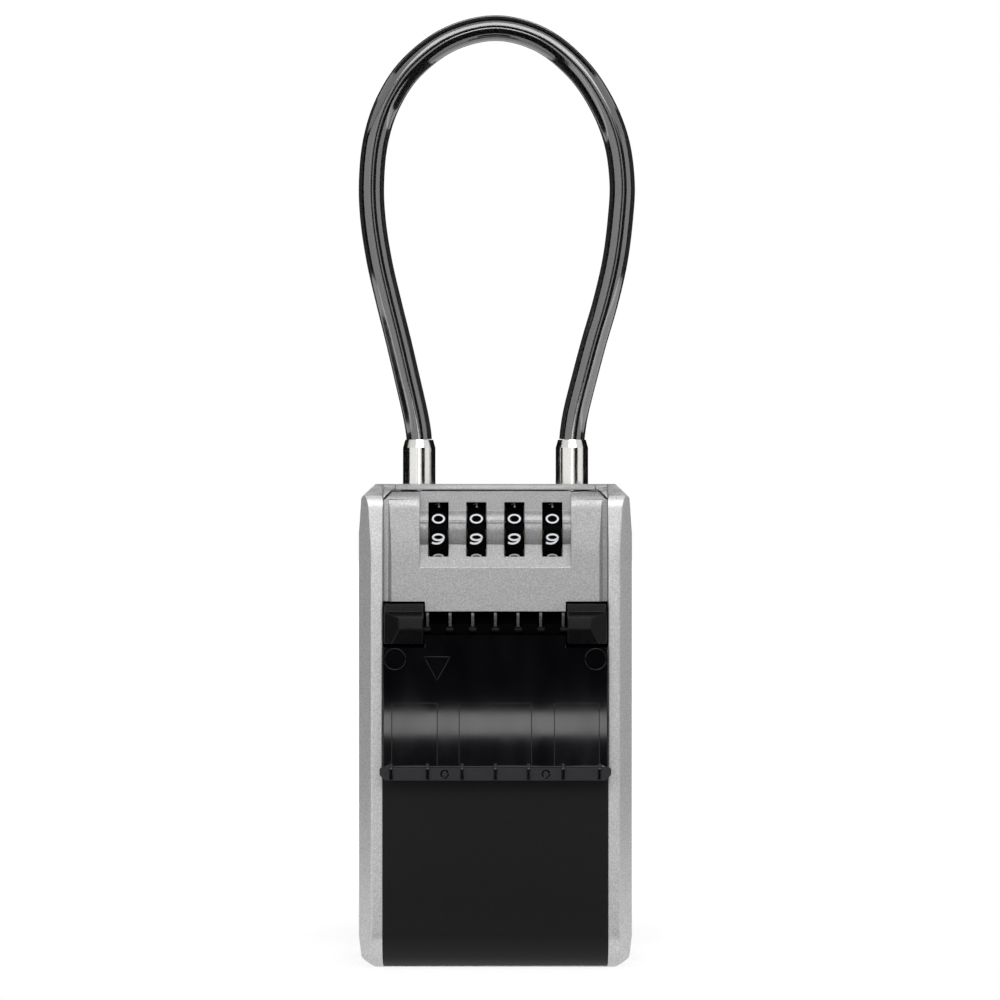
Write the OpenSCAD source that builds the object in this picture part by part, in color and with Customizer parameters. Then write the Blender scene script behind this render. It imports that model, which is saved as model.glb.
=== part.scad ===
// Combination key safe with a lift-out cable shackle, four dials and a flip-down shutter.
// X runs to the right, the front faces -Y and Z is up. The origin is under the middle of the body.
// Depths are measured back from the front plane of the side rails.

/* [Body] */
// Width of the body across both side rails
body_w = 83; // [80:1:90]
// Height of the body
body_h = 147.7; // [146:0.1:156]
// Depth from the front of the rails to the back wall
body_d = 52; // [51:1:60]
// Thickness of the side, back and bottom walls
wall = 3; // [2.4:0.1:3.4]
// Width of the flat front band of each side rail
rail_face_w = 3.4; // [3:0.1:4]
// Width of the bevel outside that band
rail_bevel_w = 4; // [3.5:0.1:4.5]
// Depth of the same bevel
rail_bevel_d = 5.5; // [4:0.5:7]
// Radius where the front curves back into the top
front_top_r = 8.5; // [8:0.1:9]
// Angle by which the upper front leans back
front_lean = 6; // [4:0.5:8]
// Height of the leaning part, from the top down
lean_drop = 22; // [20:0.5:24]
// Radius where the front curves back into the bottom
front_bottom_r = 12.5; // [12.2:0.1:12.8]
// Radius of the long back edges
back_r = 4; // [3:0.5:5]
// Size of the 45 degree cut at the upper and lower front corners
corner_cut = 4.2; // [3:0.1:5]

/* [Top plate and back] */
// Thickness of the plate let into the top
top_plate_t = 1.7; // [1.5:0.1:2]
// Width of the plate beyond each shackle hole
top_plate_margin = 0.9; // [0.8:0.1:1.2]
// Thickness of the ledges that the plate lies on
top_ledge_t = 2.3; // [2:0.1:2.6]
// Thickness of the rubber pad on the back
pad_t = 1.2; // [1:0.1:2]

/* [Door] */
// Gap between the door and each rail
door_gap = 0.4; // [0.3:0.1:0.6]
// Width of the silver panel on each side of the dial window
panel_side_w = 10.8; // [10.3:0.1:11.3]
// Thickness of the silver upper panel
panel_t = 2.6; // [2.2:0.1:3]
// Thickness of the black cover
cover_t = 1.6; // [1.2:0.1:1.8]
// Thickness of the casting behind the cover
casting_t = 2; // [1.6:0.1:2]
// Depth of the door's side flanges
flange_depth = 8; // [7.6:0.1:8.2]
// Thickness of the side flanges
flange_t = 1.8; // [1.4:0.1:2]
// Thickness of the seals that the flanges close on
seal_t = 1; // [0.8:0.1:1.4]
// Diameter of the door's hinge pin
hinge_pin_d = 3; // [2.6:0.1:3.2]
// Diameter of the hinge barrel along the foot of the door
hinge_barrel_d = 5.2; // [4.8:0.1:5.4]

/* [Dials] */
// Space between two neighbouring wheels
dial_space = 6.2; // [6:0.1:6.6]
// Diameter of a dial wheel over its ridges
dial_d = 21.2; // [20.8:0.1:21.4]
// Distance from the top of the body down to the dial axis
dial_drop = 15.9; // [15.8:0.1:16.2]
// Diameter of the dial spindle
spindle_d = 5; // [4:0.1:5.2]
// Outer diameter of the sleeve inside each wheel
sleeve_d = 7.9; // [7.6:0.1:7.9]
// Diameter of the cam on each sleeve
cam_d = 9; // [8.8:0.05:9.1]
// Clearance all round a wheel in its slot
dial_clear = 0.4; // [0.3:0.05:0.5]

/* [Lock] */
// Travel of the latch, and of the release slide that draws it
latch_travel = 4.6; // [4.5:0.05:4.8]
// Thickness of the latch plate
latch_t = 1.2; // [1:0.1:1.3]
// Wall thickness of the lock case
case_wall = 1.2; // [1:0.1:1.4]
// Width of each lug of the release slide
lug_w = 11.9; // [11.4:0.1:12.4]
// Thickness of the bridge that joins the two lugs
bridge_t = 2; // [1.6:0.1:2.1]
// Reach of the reset lever from its pivot
reset_reach = 12; // [9:0.5:13]

/* [Shutter] */
// Distance from the shutter's hinge to the end of its lip
shutter_len = 45.3; // [44:0.1:46]
// Thickness of the shutter's plate
shutter_t = 1.8; // [1.4:0.1:2]
// Diameter of the shutter's hinge pin
shutter_pin_d = 2; // [1.6:0.1:2.2]
// Radius of the shutter's arched outer face
shutter_arch_r = 101; // [95:1:120]

/* [Shackle] */
// Distance from the side of the body to the middle of a ferrule
ferrule_inset = 17.5; // [17:0.1:18.5]
// Diameter of a ferrule
ferrule_d = 10.2; // [9.8:0.1:10.4]
// Diameter of the neck that the shackle bolt catches
neck_d = 6.8; // [6:0.1:6.8]
// Diameter of the jacketed cable
cable_d = 8; // [7:0.5:9]
// Travel of the shackle bolt from free to locked
bolt_travel = 1.7; // [1.5:0.05:1.7]
// Thickness of the shackle bolt
bolt_t = 2.8; // [2.4:0.1:3]

/* [Hidden] */
$fn = 64;

// Clearances: past a cut face, for a fixed pin, for a turning pin, for a screw and for sliding faces
cut = 1;
fixed_fit = 0.02;
running_fit = 0.05;
screw_fit = 0.1;
slide_gap = 0.3;

// Body
body_half = body_w / 2;
cavity_half = body_half - wall;
cavity_back = body_d - wall;
// Bend of the front, and the middle of the arc that rounds it into the top
lean_z = body_h - lean_drop;
lean_r = 60;
top_arc_z = body_h - front_top_r;
lean_rise = top_arc_z + front_top_r * sin(front_lean) - lean_z - lean_r * sin(front_lean);
top_arc = [
    lean_r * (1 - cos(front_lean)) + lean_rise * tan(front_lean) + front_top_r * cos(front_lean), top_arc_z
];
opening_half = body_half - rail_bevel_w - rail_face_w;
opening_top = body_h - top_plate_t;
opening_cut = 2.8;
// Line down the front's upper corners, in line with the sides of the opening
corner_line_w = 0.4;
corner_line_depth = 0.6;
seal_w = 3.1;
ledge_half = opening_half - seal_w;
ledge_front = flange_depth + seal_t + slide_gap;
ledge_back = ledge_front + 2;
top_ledge_z = opening_top - top_ledge_t;
ferrule_r = ferrule_d / 2;
ferrule_x = body_half - ferrule_inset;
shackle_bore_r = ferrule_r + slide_gap;
top_plate_half = ferrule_x + shackle_bore_r + top_plate_margin;
top_plate_back = 44.8;
top_hole_half = top_plate_half - 1.9;
top_hole_back = top_plate_back - 4;
plate_fit = 0.1;

// Door, hinged along its foot
door_half = opening_half - door_gap;
door_bottom = 0.4;
door_top = opening_top - 0.5;
hinge_barrel_r = hinge_barrel_d / 2;
hinge_in = front_bottom_r - (front_bottom_r - cover_t - hinge_barrel_r - 0.1) / sqrt(2);
hinge_depth = hinge_in;
hinge_z = hinge_in;
hinge_pin_half = opening_half + 3;
hinge_sweep_r = 7;
flank_w = 2.3;
flank_ledge_w = 1.3;
flank_depth = 2.2;
// The opening between panel and cover, and its higher ends for the lugs
pocket_drop = 38.6;
pocket_h = 14.1;
pocket_top = body_h - pocket_drop;
pocket_bottom = pocket_top - pocket_h;
pocket_depth = 4.2;
lug_gap = 0.4;
lug_out = opening_half - 0.5;
lug_in = lug_out - lug_w;
notch_top = pocket_top + 3;
notch_half = lug_in - lug_gap;
cover_screw_x = door_half - 9.3;
cover_screw_z = [30, 70];

// Dials: the flat of digit 0 looks up by digit_tilt, in line with the index ridge
dial_count = 4;
window_half = door_half - panel_side_w;
dial_pitch = 2 * (window_half + 0.1) / dial_count;
dial_w = dial_pitch - dial_space;
dial_r = dial_d / 2;
dial_z = body_h - dial_drop;
dial_depth = 11.1;
digit_step = 36;
digit_tilt = 31.5;
digit_flat_w = 5;
digit_flat_in = 0.45;
spindle_r = spindle_d / 2;
sleeve_r = sleeve_d / 2;
sleeve_len = dial_pitch - 0.3;
cam_r = cam_d / 2;
cam_flat_r = cam_r - 0.5;
cam_from = dial_w / 2 + 0.55;
cam_w = 1.8;
key_w = 0.9;
key_r = sleeve_r + 0.65;
cheek_in = 1.5 * dial_pitch + sleeve_len / 2 + 0.35;
cheek_t = 1.8;
cheek_out = cheek_in + cheek_t;

// Dial window in the upper panel
window_low = dial_z - 9.4;
window_back_low = dial_z - 2.5;
window_back_high = dial_z + 7.6;
window_depth = 4;
window_top_depth = 3.9;
slot_top = dial_z + 10.3;
bar_front = 1.9;
bar_r = 7.2;
bar_depth = bar_front + bar_r;
bar_z = dial_z + 2.6;
index_z = dial_z + 4.5;
index_h = 0.8;
frame_low = dial_z - 13.2;
frame_back = 6.6;
frame_half = cheek_out + 0.6;

// Lock case and latch
case_half = cheek_out + 0.2 + case_wall;
case_top = body_h - 3.4;
case_h = 50.9;
case_low = case_top - case_h;
latch_depth = dial_depth + dial_r + dial_clear;
latch_back = latch_depth + latch_t;
case_depth = latch_back + 0.4 + case_wall;
ear_t = 1.6;
ear_half = case_half + 4.2;
case_screw_x = case_half + 2.3;
case_screw_z = [dial_z - 14.8, dial_z + 5.2];
latch_half = cheek_in + 0.3;
latch_top = body_h - 6.5;
latch_shoulder = dial_z + 2.7;
latch_low = dial_z - 13.8;
latch_stem_low = case_low + 2.8;
latch_tongue_half = 9;
latch_ear_t = 1.2;
fence_depth = dial_depth + cam_r - 0.3;
fence_t = 0.8;
fence_drop = 1.88;
fence_w = cam_w + 0.2;
strike_half = 12;
strike_t = 1.7;
strike_low = latch_top + 1.1;
arm_z = latch_stem_low + latch_ear_t + latch_travel + 0.2;
arm_t = 2;
tab_z = arm_z + arm_t + 2;
release_spring_x = 14;
release_spring_depth = 9;
latch_spring_x = 11.5;
latch_spring_depth = 15.8;
latch_tab_x = [9, 14];
spring_wire = 0.6;
reset_x = -12;
reset_z = case_low + 16.8;
reset_depth = case_depth + slide_gap;
reset_t = 1.4;
reset_pin_r = 1.5;

// Release slide: lugs at both ends of a bridge that runs behind the door's skin
lug_low = pocket_top - 8.8;
lug_top = notch_top - 0.6;
lug_front = -7;
lug_facet_x = lug_out - 4.8;
lug_foot = lug_low - 0.8;
lug_foot_depth = -0.5;
bridge_depth = 3.9;
bridge_half = door_half - flange_t - 0.5;
bridge_low = case_low - 3.2;
bridge_top = pocket_top + latch_travel;
rib_places = [for (k = [-3:3]) k * (notch_half - 0.75) / 3];
rib_t = 1;

// Shutter, drawn hanging open
shutter_axis_depth = -3.6;
shutter_axis_z = pocket_top - 5.4;
shutter_pin_r = shutter_pin_d / 2;
shutter_barrel_r = 1.8;
shutter_half = opening_half - 0.3;
shutter_bulge = 3;
shutter_mid = 22;
lip_half = opening_half + 0.7;
lip_h = 4.1;
lip_front = -5.6;
lip_back = -2.2;
lip_low = shutter_axis_z - shutter_len;
lip_rib_places = lip_half * [-0.9, -0.586, -0.287, 0, 0.287, 0.586, 0.9];
lip_hole_x = lip_half * 0.437;

// Shackle
ferrule_depth = case_depth + 11.6;
ferrule_low = body_h - 18.5;
ferrule_top = body_h + 14;
bolt_z = body_h - 13.9;
bolt_half = ferrule_x + shackle_bore_r + 2;
bolt_front = ferrule_depth - shackle_bore_r - 1.2;
bolt_back = ferrule_depth + shackle_bore_r + 1.2;
bolt_gap = 0.2;
block_half = bolt_half + bolt_travel + bolt_gap + 1.7;
block_front = case_depth + 3.2;
block_low = ferrule_low - 3;
neck_margin = 0.8;
bolt_notch = [-11, 0];
bolt_post = [-9, -8];
bolt_notch_front = ferrule_depth + 1.1;
bolt_spring_depth = ferrule_depth + 4;
bolt_spring_r = 1.2;
tongue_half = 4;
tongue_front = case_depth + 1.8;
finger_tab_t = 2;
block_screw_tip = cavity_back - 3.9;
block_screw_places = [
    [-11, body_h - 17], [11, body_h - 17], [-11, body_h - 8.5], [11, body_h - 8.5]
];

// Route of the cable's centre line, as x and height above the top of the ferrules, for ferrules
// that stand 24 mm from the middle
cable_route_half = 24;
cable_route = [
    [-24, 0], [-24.3, 3], [-25.4, 9], [-27.7, 19], [-30.5, 31], [-33.5, 43], [-36.5, 56], [-38.5, 69],
    [-39, 81], [-37.7, 94], [-33.8, 106], [-26.5, 117], [-14.5, 126], [0, 129.5],
    [14, 126], [25.5, 117], [33.2, 106], [38, 94], [39.8, 81], [39.2, 69], [37.5, 56], [34.5, 43],
    [31, 31], [27.8, 19], [25.3, 9], [24.3, 3], [24, 0]
];
cable_sides = 12;

function y_at(depth) = depth - body_d / 2;
function dial_x(i) = (i - (dial_count - 1) / 2) * dial_pitch;

// Box between two corners, each given as x, depth and height
module solid_box(low, high) {
    translate([low.x, y_at(low.y), low.z]) cube([high.x - low.x, high.y - low.y, high.z - low.z]);
}

module rod_x(x0, x1, depth, z, r) {
    translate([x0, y_at(depth), z]) rotate([0, 90, 0]) cylinder(h = x1 - x0, r = r);
}

module rod_y(x, z, depth0, depth1, r) {
    translate([x, y_at(depth0), z]) rotate([-90, 0, 0]) cylinder(h = depth1 - depth0, r = r);
}

module rod_z(x, depth, z0, z1, r) {
    translate([x, y_at(depth), z0]) cylinder(h = z1 - z0, r = r);
}

// Extrudes an outline of x and height from one depth to another
module front_prism(depth0, depth1) {
    translate([0, y_at(depth1), 0]) rotate([90, 0, 0]) linear_extrude(depth1 - depth0) children();
}

// Extrudes a profile of depth and height from one x to another
module side_prism(x0, x1) {
    translate([x0, y_at(0), 0]) rotate([90, 0, 90]) linear_extrude(x1 - x0) children();
}

// Extrudes a plan of x and depth from one height to another
module plan_prism(z0, z1) {
    translate([0, y_at(0), z0]) linear_extrude(z1 - z0) children();
}

module both_sides() {
    children();
    mirror([1, 0, 0]) children();
}

// Rectangle with its own radius at each corner, in turn from the lower left
module rounded_rect(low, high, radii) {
    corners = [low, [high.x, low.y], high, [low.x, high.y]];
    inward = [[1, 1], [-1, 1], [-1, -1], [1, -1]];
    difference() {
        translate(low) square(high - low);
        for (i = [0:3]) if (radii[i] > 0) {
            middle = corners[i] + radii[i] * inward[i] / 2;
            translate(middle) square(radii[i], center = true);
        }
    }
    for (i = [0:3]) if (radii[i] > 0) translate(corners[i] + radii[i] * inward[i]) circle(radii[i]);
}

// Side view of the body: the front bends back by front_lean and then rounds into the top
module side_profile(inset) {
    back = max(back_r - inset, 0.4);
    top_r = front_top_r - inset;
    bend = lean_r - inset;
    bend_end = [lean_r - bend * cos(front_lean), lean_z + bend * sin(front_lean)];
    intersection() {
        rounded_rect(
            [inset, inset], [body_d - inset, body_h - inset], [front_bottom_r - inset, back, back, 0]
        );
        union() {
            polygon([
                [-cut, -cut], [-cut, lean_z], [inset, lean_z], bend_end,
                top_arc - top_r * [cos(front_lean), -sin(front_lean)], top_arc,
                [top_arc.x, body_h + cut], [body_d + cut, body_h + cut], [body_d + cut, -cut]
            ]);
            translate(top_arc) circle(top_r);
            intersection() {
                translate([lean_r, lean_z]) circle(bend, $fn = 360);
                translate([0, lean_z]) square([bend_end.x + 2, bend_end.y - lean_z]);
            }
        }
    }
}

module front_outline() {
    ease = 0.8;
    top_ease_h = 11;
    low_ease_h = 6;
    edge = body_half - ease;
    right = [
        [edge - corner_cut, 0], [edge, corner_cut], [body_half, corner_cut + low_ease_h],
        [body_half, body_h - corner_cut - top_ease_h], [edge, body_h - corner_cut],
        [edge - corner_cut, body_h]
    ];
    left = [for (i = [len(right) - 1:-1:0]) [-right[i].x, right[i].y]];
    polygon(concat(right, left));
}

module plan_outline() {
    plan_back_r = 5;
    intersection() {
        rounded_rect([-body_half, 0], [body_half, body_d], [0, 0, plan_back_r, plan_back_r]);
        polygon([
            [-body_half + rail_bevel_w, 0], [body_half - rail_bevel_w, 0], [body_half, rail_bevel_d],
            [body_half, body_d], [-body_half, body_d], [-body_half, rail_bevel_d]
        ]);
    }
}

// The whole outside shape of the body
module envelope() {
    intersection() {
        side_prism(-body_half, body_half) side_profile(0);
        front_prism(0, body_d) front_outline();
        plan_prism(0, body_h) plan_outline();
    }
}

// Upright panel with its two upper corners cut at 45 degrees
module panel_outline(half, low, high, corner) {
    polygon([
        [-half, low], [half, low], [half, high - corner], [half - corner, high],
        [-half + corner, high], [-half, high - corner]
    ]);
}

module socket_screw(x, z, seat, tip, head_r, head_h, shank_r) {
    difference() {
        union() {
            rod_y(x, z, seat, seat + head_h, head_r);
            rod_y(x, z, tip, seat + 0.1, shank_r);
        }
        translate([x, y_at(seat + head_h / 2), z]) rotate([-90, 0, 0])
            cylinder(h = head_h, r = head_r * 0.5, $fn = 6);
    }
}

module spring_tube(r, len) {
    difference() {
        cylinder(h = len, r = r);
        translate([0, 0, -cut]) cylinder(h = len + 2 * cut, r = r - spring_wire);
    }
}

module shackle_bores(z0, z1) {
    for (side = [-1, 1]) rod_z(side * ferrule_x, ferrule_depth, z0, z1, shackle_bore_r);
}

module corner_lines() {
    low = opening_top - opening_cut;
    both_sides() side_prism(opening_half - corner_line_w / 2, opening_half + corner_line_w / 2)
        difference() {
            translate([-cut, low]) square([top_arc.x + cut, body_h + cut - low]);
            side_profile(corner_line_depth);
        }
}

module rear_housing() {
    color("#a9a9a8") difference() {
        envelope();
        corner_lines();
        solid_box([-cavity_half, ledge_back, wall], [cavity_half, cavity_back, top_ledge_z]);
        solid_box([-ledge_half, ledge_front - cut, wall], [ledge_half, ledge_back + cut, top_ledge_z]);
        front_prism(-cut, ledge_front) panel_outline(opening_half, -cut, opening_top, opening_cut);
        solid_box(
            [-top_hole_half, ledge_front - cut, top_ledge_z - cut],
            [top_hole_half, top_hole_back, opening_top + cut]
        );
        shackle_bores(top_ledge_z - cut, opening_top + cut);
        solid_box(
            [-top_plate_half - plate_fit, -cut, opening_top],
            [top_plate_half + plate_fit, top_plate_back + plate_fit, body_h + cut]
        );
        rod_x(-opening_half, opening_half, hinge_depth, hinge_z, hinge_sweep_r);
        rod_x(-hinge_pin_half, hinge_pin_half, hinge_depth, hinge_z, hinge_pin_d / 2 + fixed_fit);
        for (p = block_screw_places) {
            rod_y(p.x, p.y, cavity_back - cut, body_d + cut, 2.1);
            rod_y(p.x, p.y, body_d - 2, body_d + cut, 3.5);
        }
    }
}

module top_plate() {
    color("#b4b4b3") difference() {
        union() {
            intersection() {
                envelope();
                solid_box([-top_plate_half, 0, opening_top], [top_plate_half, top_plate_back, body_h]);
            }
            solid_box(
                [-strike_half, latch_depth - slide_gap - strike_t, strike_low],
                [strike_half, latch_depth - slide_gap, opening_top + 0.5]
            );
        }
        shackle_bores(opening_top - cut, body_h + cut);
    }
}

module rear_pad() {
    edge = 6.5;
    radius = 6;
    color("#232323") front_prism(body_d, body_d + pad_t) rounded_rect(
        [-body_half + edge, edge], [body_half - edge, body_h - back_r],
        [radius, radius, radius, radius]
    );
}

module door_seals() {
    color("#1c1c1c") both_sides() solid_box(
        [ledge_half + 0.2, ledge_front - seal_t, 2 * hinge_z + 2],
        [opening_half - 0.2, ledge_front, opening_top - opening_cut - 1]
    );
}

module door_hinge_pin() {
    color("#8f8f90") rod_x(-hinge_pin_half, hinge_pin_half, hinge_depth, hinge_z, hinge_pin_d / 2);
}

module shackle_block() {
    color("#8a8a8a") difference() {
        solid_box([-block_half, block_front, block_low], [block_half, cavity_back, top_ledge_z]);
        shackle_bores(ferrule_low - 0.4, top_ledge_z + cut);
        difference() {
            solid_box(
                [-bolt_half - bolt_gap, bolt_front - slide_gap, bolt_z - bolt_gap],
                [bolt_half + bolt_travel + bolt_gap, bolt_back + slide_gap, bolt_z + bolt_t + bolt_gap]
            );
            solid_box(
                [bolt_post[0], bolt_notch_front + slide_gap, bolt_z - cut],
                [bolt_post[1], bolt_back + cut, bolt_z + bolt_t + cut]
            );
        }
        solid_box(
            [-tongue_half - slide_gap, block_front - cut, bolt_z - bolt_gap],
            [tongue_half + bolt_travel + slide_gap, bolt_front, bolt_z + bolt_t + bolt_gap]
        );
        for (p = block_screw_places) rod_y(p.x, p.y, block_screw_tip - 0.6, cavity_back + cut, 2);
    }
}

module block_screws() {
    color("#6e6e70") for (p = block_screw_places)
        socket_screw(p.x, p.y, body_d - 2, block_screw_tip, 3.4, 1.9, 2 - running_fit);
}

module shackle_bolt() {
    color("#97979a") difference() {
        union() {
            solid_box([-bolt_half, bolt_front, bolt_z], [bolt_half, bolt_back, bolt_z + bolt_t]);
            solid_box(
                [-tongue_half, tongue_front, bolt_z], [tongue_half, bolt_front + cut, bolt_z + bolt_t]
            );
        }
        shackle_bores(bolt_z - cut, bolt_z + bolt_t + cut);
        solid_box(
            [bolt_notch[0], bolt_notch_front, bolt_z - cut],
            [bolt_notch[1], bolt_back + cut, bolt_z + bolt_t + cut]
        );
    }
}

module shackle_bolt_spring() {
    length = bolt_notch[1] - bolt_post[1];
    color("#b9b9bb")
        translate([bolt_post[1], y_at(bolt_spring_depth), bolt_z + bolt_t / 2])
            rotate([0, 90, 0]) spring_tube(bolt_spring_r, length);
}

module shackle_release_tab() {
    over = 2;
    front = tongue_front - 1;
    color("#b03a2e") difference() {
        solid_box(
            [-tongue_half - 1, front, bolt_z - over],
            [tongue_half + 1, front + finger_tab_t, bolt_z + bolt_t + over]
        );
        solid_box(
            [-tongue_half, tongue_front, bolt_z],
            [tongue_half, front + finger_tab_t + cut, bolt_z + bolt_t]
        );
    }
}

module ferrule(x) {
    neck_low = bolt_z - neck_margin;
    neck_high = bolt_z + bolt_t + neck_margin;
    chamfer = 0.5;
    color("#c9c9cb") translate([x, y_at(ferrule_depth), 0]) rotate_extrude() polygon([
        [0, ferrule_low], [ferrule_r - chamfer, ferrule_low], [ferrule_r, ferrule_low + chamfer],
        [ferrule_r, neck_low], [neck_d / 2, neck_low], [neck_d / 2, neck_high], [ferrule_r, neck_high],
        [ferrule_r, ferrule_top - 2.5], [cable_d / 2 + 0.4, ferrule_top], [0, ferrule_top]
    ]);
}

// Catmull-Rom curve through the route, two steps to each stretch
function route_point(i) =
    let(p = cable_route[min(max(i, 0), len(cable_route) - 1)])
    [p.x * ferrule_x / cable_route_half, p.y];
function route_mid(i) =
    (9 * (route_point(i) + route_point(i + 1)) - route_point(i - 1) - route_point(i + 2)) / 16;
cable_line = [
    for (i = [0:2 * len(cable_route) - 2]) i % 2 == 0 ? route_point(i / 2) : route_mid((i - 1) / 2)
];

// Direction of the line at a ring: straight up at both ends, where it meets the ferrules
function cable_heading(i) =
    i == 0 ? [0, 1]
    : i == len(cable_line) - 1 ? [0, -1]
    : let(step = cable_line[i + 1] - cable_line[i - 1]) step / norm(step);

module cable() {
    last = len(cable_line) - 1;
    points = [
        for (i = [0:last]) for (j = [0:cable_sides - 1])
            let(
                heading = cable_heading(i),
                angle = 360 * j / cable_sides,
                out = cable_d / 2 * cos(angle),
                across = cable_d / 2 * sin(angle)
            )
            [
                cable_line[i].x + heading.y * out,
                y_at(ferrule_depth) + across,
                ferrule_top + cable_line[i].y - heading.x * out
            ]
    ];
    sides = [
        for (i = [0:last - 1]) for (j = [0:cable_sides - 1])
            let(
                a = i * cable_sides + j,
                b = i * cable_sides + (j + 1) % cable_sides
            )
            for (face = [[a, a + cable_sides, b], [b, a + cable_sides, b + cable_sides]]) face
    ];
    start = [for (j = [0:cable_sides - 1]) j];
    end = [for (j = [cable_sides - 1:-1:0]) last * cable_sides + j];
    color("#2b2d2f") polyhedron(points, concat(sides, [start], [end]));
}

// Skin between two insets of the curved front, cut to the door's outline
module front_skin(outer, inner, z0, z1) {
    intersection() {
        difference() {
            side_prism(-door_half, door_half) side_profile(outer);
            side_prism(-door_half - cut, door_half + cut) side_profile(inner);
        }
        solid_box([-door_half, -cut, z0], [door_half, flange_depth, z1]);
        front_prism(-cut, flange_depth + cut)
            panel_outline(door_half, door_bottom, door_top, opening_cut);
    }
}

module door_frame() {
    front_skin(0, panel_t, pocket_bottom, door_top);
    front_skin(cover_t, cover_t + casting_t, door_bottom, pocket_bottom + 0.1);
    intersection() {
        union() {
            both_sides() solid_box(
                [door_half - flange_t, cover_t, door_bottom], [door_half, flange_depth, door_top]
            );
            solid_box([-door_half, cover_t, door_top - 1.4], [door_half, frame_back, door_top]);
            solid_box([-frame_half, 0, frame_low], [frame_half, frame_back, door_top]);
        }
        side_prism(-door_half, door_half) side_profile(0);
        union() {
            solid_box([-door_half, 0, pocket_bottom], [door_half, flange_depth, door_top]);
            side_prism(-door_half, door_half) side_profile(cover_t);
        }
        front_prism(0, flange_depth) panel_outline(door_half, door_bottom, door_top, opening_cut);
    }
}

module window_recess() {
    slope = (window_back_low - window_low) / window_depth;
    side_prism(-window_half, window_half) polygon([
        [-cut, window_low - slope * cut], [window_depth, window_back_low],
        [window_depth, window_back_high], [window_top_depth, door_top], [window_top_depth, body_h],
        [-cut, body_h]
    ]);
}

module window_bar() {
    intersection() {
        rod_x(-window_half - 0.1, window_half + 0.1, bar_depth, bar_z, bar_r);
        solid_box([-window_half - 1, -cut, frame_low], [window_half + 1, frame_back, door_top]);
    }
    solid_box(
        [-window_half - 0.1, bar_front - 0.4, index_z - index_h / 2],
        [window_half + 0.1, bar_front + 1, index_z + index_h / 2]
    );
}

module dial_slot(i) {
    half = dial_w / 2 + dial_clear;
    rod_x(dial_x(i) - half, dial_x(i) + half, dial_depth, dial_z, dial_r + dial_clear);
    solid_box([dial_x(i) - half, -cut, dial_z], [dial_x(i) + half, dial_depth, slot_top]);
}

module lug_opening() {
    solid_box([-body_half, -cut, pocket_bottom], [body_half, pocket_depth, pocket_top]);
    both_sides() solid_box([notch_half, -cut, pocket_top - cut], [body_half, pocket_depth, notch_top]);
}

module flank_cut() {
    both_sides() plan_prism(pocket_bottom, body_h) polygon([
        [door_half - flank_w, -cut], [door_half - flank_w, 0],
        [door_half - flank_ledge_w, flank_depth - 0.3], [door_half, flank_depth],
        [door_half + cut, flank_depth], [door_half + cut, -cut]
    ]);
}

module cover_screw_rods(depth0, depth1, r) {
    both_sides() for (z = cover_screw_z) rod_y(cover_screw_x, z, depth0, depth1, r);
}

module door_casting() {
    color("#b2b2b1") difference() {
        union() {
            difference() {
                union() {
                    door_frame();
                    both_sides() solid_box(
                        [cheek_in, frame_back - 0.1, dial_z - 5.8],
                        [cheek_out, dial_depth + 4.8, dial_z + 5.8]
                    );
                    both_sides() for (z = case_screw_z) rod_y(case_screw_x, z, 2, frame_back, 2.4);
                    rod_x(-door_half, door_half, hinge_depth, hinge_z, hinge_barrel_r);
                }
                window_recess();
            }
            window_bar();
        }
        for (i = [0:dial_count - 1]) dial_slot(i);
        rod_x(-cheek_in, cheek_in, dial_depth, dial_z, cam_r + 0.5);
        rod_x(-body_half, body_half, dial_depth, dial_z, spindle_r + running_fit);
        lug_opening();
        flank_cut();
        both_sides() for (z = case_screw_z) rod_y(case_screw_x, z, 3, frame_back + cut, 1.2);
        cover_screw_rods(0, pocket_depth, 2.2);
        rod_x(-body_half, body_half, hinge_depth, hinge_z, hinge_pin_d / 2 + running_fit);
    }
}

module door_cover() {
    color("#1e1e1f") difference() {
        union() {
            front_skin(0, cover_t - running_fit, door_bottom, pocket_bottom - running_fit);
            cover_screw_rods(cover_t - 0.1, cover_t + casting_t - 0.2, 2);
        }
        cover_screw_rods(0.8, pocket_depth, 1);
    }
}

module cover_screws() {
    color("#77777a") both_sides() for (z = cover_screw_z)
        socket_screw(cover_screw_x, z, cover_t + casting_t, 1, 2.6, 1.4, 1 - running_fit);
}

module lock_case() {
    guide_in = latch_half + slide_gap;
    guide_front = latch_depth - slide_gap - 1.4;
    color("#33363a") difference() {
        union() {
            difference() {
                solid_box([-case_half, frame_back, case_low], [case_half, case_depth, case_top]);
                solid_box(
                    [-case_half + case_wall, frame_back - cut, case_low + case_wall],
                    [case_half - case_wall, case_depth - case_wall, case_top - 0.7]
                );
            }
            both_sides() {
                solid_box(
                    [guide_in, guide_front, latch_low - 4],
                    [case_half - 0.1, case_depth - 0.1, latch_shoulder]
                );
                solid_box(
                    [guide_in - 1.4, guide_front, latch_low - 4],
                    [guide_in + 0.1, latch_depth - slide_gap, latch_shoulder]
                );
                solid_box(
                    [case_half - 0.1, frame_back, case_screw_z[0] - 4],
                    [ear_half, frame_back + ear_t, case_screw_z[1] + 3.5]
                );
            }
        }
        solid_box(
            [-strike_half - 1, case_depth - 6.5, latch_top - 0.4], [strike_half + 1, body_d, body_h]
        );
        both_sides() for (z = case_screw_z) rod_y(case_screw_x, z, frame_back - cut, 10, 1.3);
        rod_y(reset_x, reset_z, case_depth - 2, case_depth + cut, reset_pin_r + fixed_fit);
    }
}

module lock_case_screws() {
    color("#77777a") both_sides() for (z = case_screw_z)
        socket_screw(case_screw_x, z, frame_back + ear_t, 3.4, 1.9, 1.2, 1.2 - running_fit);
}

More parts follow.
